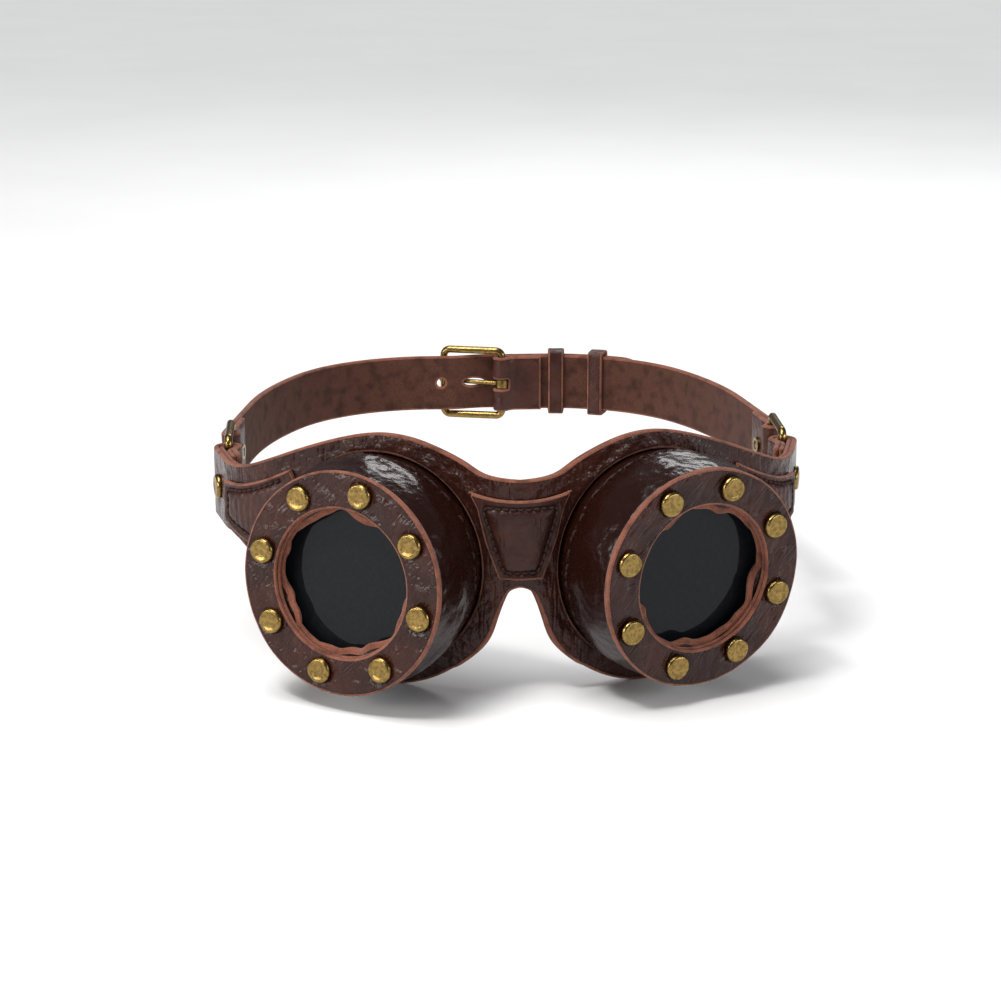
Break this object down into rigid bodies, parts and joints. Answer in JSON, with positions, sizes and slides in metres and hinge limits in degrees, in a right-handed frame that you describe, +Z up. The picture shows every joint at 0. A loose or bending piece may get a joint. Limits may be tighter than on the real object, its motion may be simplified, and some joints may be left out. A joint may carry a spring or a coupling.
{
  "type": "steampunk goggles",
  "caption": "Round-lens leather goggles with riveted lens rings, bulged eyecups, a stitched mask and a strap hung from wire rings and closed by a prong buckle.",
  "frame": {"origin": "centre of the head space inside the mask and strap, at the height of the lens centres", "axes": "+Z up the wearer's head, -Y the way the wearer looks, +X to the wearer's left"},
  "size_m": [0.196, 0.2501, 0.0825],
  "materials": {
    "mask_leather": "dark red-brown glazed leather, fine grain, semi-gloss",
    "patch_leather": "red-brown glazed leather, matt sheen on the creases",
    "lining_leather": "raw terracotta suede side of the leather",
    "cup_leather": "smooth glazed red-brown leather, broad highlights",
    "strap_leather": "dark red-brown strap leather, terracotta cut edges",
    "antique_brass": "antique brass, mottled caps with bright rims",
    "smoked_lens": "near-black smoked lens, glossy",
    "gasket_rubber": "matt black rubber"
  },
  "bodies": {
    "mask": {"mask_outer": "mask_leather", "mask_lining": "lining_leather", "bridge_patch": "patch_leather", "side_patch_left": "patch_leather", "side_patch_right": "patch_leather", "eyecup_left": "cup_leather", "eyecup_right": "cup_leather", "ring_front_left": "mask_leather", "ring_front_right": "mask_leather", "ring_back_left": "lining_leather", "ring_back_right": "lining_leather", "ring_rivets_left": "antique_brass", "ring_rivets_right": "antique_brass", "ring_rivet_backs_left": "antique_brass", "ring_rivet_backs_right": "antique_brass", "lens_left": "smoked_lens", "lens_right": "smoked_lens", "lens_gasket_left": "gasket_rubber", "lens_gasket_right": "gasket_rubber", "tab_rivets": "antique_brass", "tab_rivet_backs": "antique_brass"},
    "link_left": {"link_ring_left": "antique_brass"},
    "link_right": {"link_ring_right": "antique_brass"},
    "strap": {"strap_left": "strap_leather", "strap_right": "strap_leather", "strap_rivets": "antique_brass", "strap_rivet_backs": "antique_brass", "buckle_frame": "antique_brass", "keeper_fixed": "strap_leather"},
    "prong": {"buckle_prong": "antique_brass"},
    "keeper": {"keeper_sliding": "strap_leather"}
  },
  "joints": [
    {"name": "link_left_swing", "type": "hinge", "parent": "mask", "child": "link_left", "pos_m": [0.09301, -0.03893, 0.0116], "axis": [0, 0, 1], "range_deg": [-15, 15]},
    {"name": "link_right_swing", "type": "hinge", "parent": "mask", "child": "link_right", "pos_m": [-0.09301, -0.03893, 0.0116], "axis": [0, 0, 1], "range_deg": [-15, 15]},
    {"name": "strap_swing", "type": "hinge", "parent": "link_left", "child": "strap", "pos_m": [0.09301, -0.01493, 0.0116], "axis": [0, 0, 1], "range_deg": [-15, 15]},
    {"name": "prong_lift", "type": "hinge", "parent": "strap", "child": "prong", "pos_m": [0.006, 0.09884, 0.0116], "axis": [0, 0, -1], "range_deg": [0, 5]},
    {"name": "keeper_slide", "type": "hinge", "parent": "strap", "child": "keeper", "pos_m": [0.022, 0.04429, 0.0116], "axis": [0, 0, 1], "range_deg": [-10, 9]}
  ],
  "couplings": [
    {"joint": "link_right_swing", "follows": "link_left_swing", "ratio": 1},
    {"joint": "strap_swing", "follows": "link_left_swing", "ratio": -1}
  ]
}
